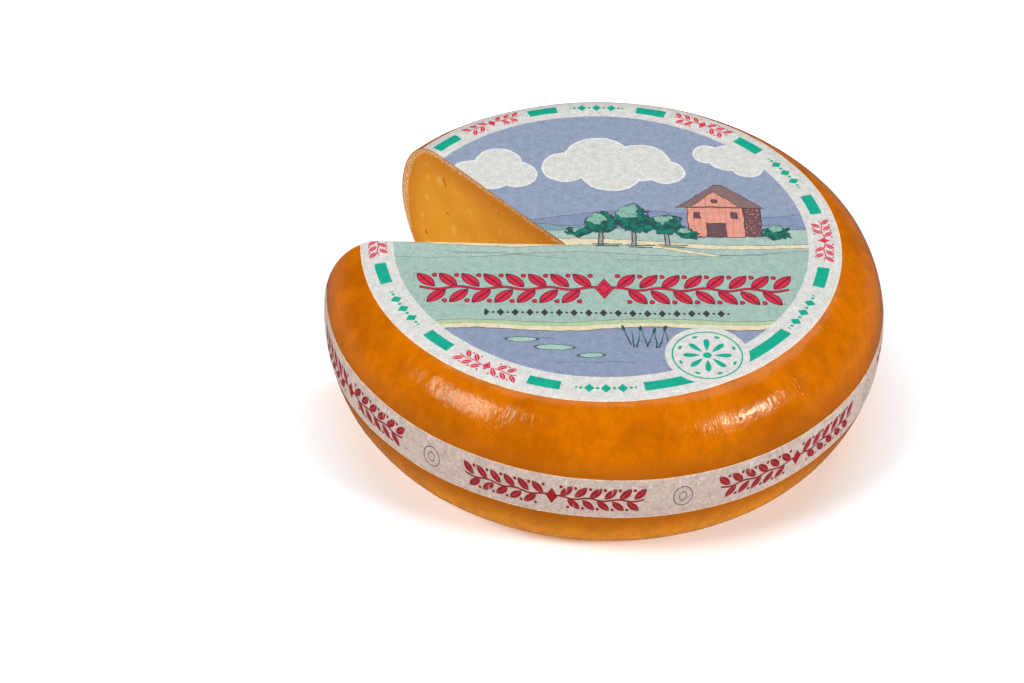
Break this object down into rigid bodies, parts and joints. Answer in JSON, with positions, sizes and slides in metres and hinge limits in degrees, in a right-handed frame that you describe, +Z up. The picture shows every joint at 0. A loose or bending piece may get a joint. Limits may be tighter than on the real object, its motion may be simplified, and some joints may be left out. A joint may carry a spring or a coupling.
{
  "type": "cheese wheel",
  "caption": "Round wheel of aged cheese with bulging coated sides, one wedge cut out of it, a paper label on its top face and a paper band around its side.",
  "frame": {"origin": "centre of the flat face that the wheel rests on, on the axis of the wheel", "axes": "+Z up through the wheel's thickness, towards the labelled face; the cut-out opens towards -X and a little +Y"},
  "size_m": [0.3612, 0.3612, 0.1126],
  "materials": {
    "cheese": "gloss",
    "label_paper": "satin",
    "band_paper": "satin"
  },
  "bodies": {
    "root": {"cheese": "cheese", "top_label": "label_paper", "side_band": "band_paper"}
  },
  "joints": []
}
